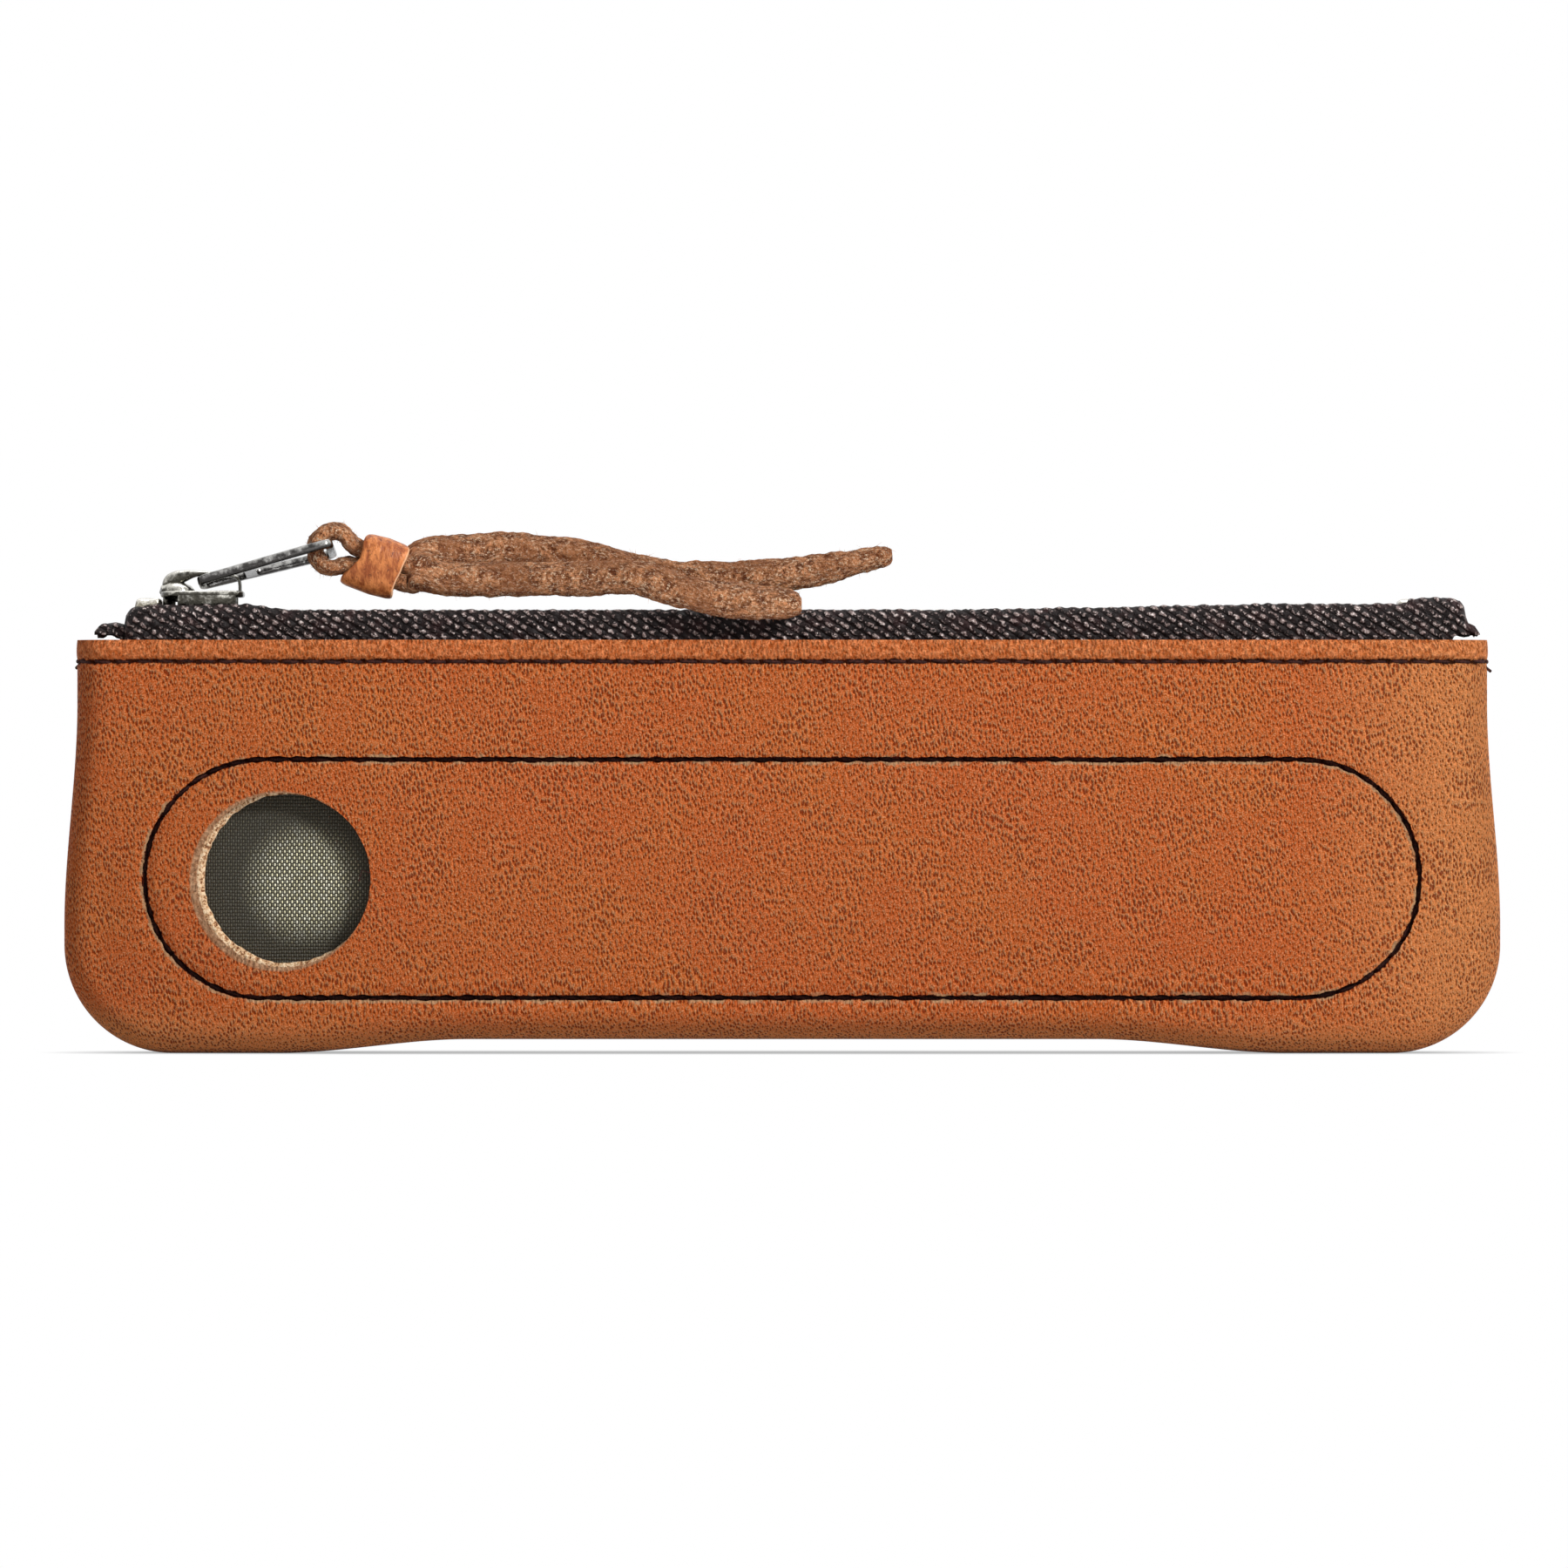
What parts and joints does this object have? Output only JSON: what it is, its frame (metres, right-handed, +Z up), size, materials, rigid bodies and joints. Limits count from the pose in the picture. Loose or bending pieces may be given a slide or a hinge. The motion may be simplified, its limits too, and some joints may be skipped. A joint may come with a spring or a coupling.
{
  "type": "zippered pencil case",
  "caption": "Slim upright leather pencil case with a stitched inlay, a round peep hole, a metal zip along the top and a folded suede zip pull.",
  "frame": {"origin": "on the ground under the middle of the case, in the seam plane between its front and back halves", "axes": "+X to the right along the zip, seen from the front; +Y towards the back; +Z up. The front with the inlay faces -Y"},
  "size_m": [0.2056, 0.026, 0.0759],
  "materials": {
    "leather": "pebbled orange-brown grain leather, waxed and lightly worn",
    "inlay_leather": "pebbled orange-brown grain leather with raw pale edges",
    "split_leather": "pale fibrous split leather",
    "canvas": "olive-grey plain weave canvas",
    "thread": "dark brown waxed thread",
    "zip_tape": "near-black brown herringbone tape",
    "zip_metal": "dark nickel, polished",
    "suede": "brown suede, flesh side out",
    "keeper_leather": "smooth orange-brown leather"
  },
  "bodies": {
    "case": {"front_panel": "leather", "back_panel": "leather", "inlay_panel": "inlay_leather", "inlay_backing": "split_leather", "front_lining": "canvas", "back_lining": "canvas", "front_hem_thread": "thread", "back_hem_thread": "thread", "inlay_thread": "thread", "closing_seam_thread": "thread", "lining_seam_thread": "thread", "front_zip_tape": "zip_tape", "back_zip_tape": "zip_tape", "front_zip_teeth": "zip_metal", "back_zip_teeth": "zip_metal", "front_top_stop": "zip_metal", "back_top_stop": "zip_metal", "bottom_stop": "zip_metal"},
    "slider": {"slider_body": "zip_metal"},
    "pull": {"pull_frame": "zip_metal"},
    "strap": {"pull_strap": "suede", "strap_keeper": "keeper_leather"}
  },
  "joints": [
    {"name": "slider_slide", "type": "slide", "parent": "case", "child": "slider", "axis": [1, 0, 0], "range_m": [0, 0.165], "deforming": ["front_zip_teeth", "back_zip_teeth"]},
    {"name": "pull_hinge", "type": "hinge", "parent": "slider", "child": "pull", "pos_m": [-0.0832, 0, 0.06742], "axis": [0, -1, 0], "range_deg": [0, 120]},
    {"name": "strap_hinge", "type": "hinge", "parent": "pull", "child": "strap", "pos_m": [-0.06483, 0, 0.07228], "axis": [0, -1, 0], "range_deg": [0, 60]}
  ]
}
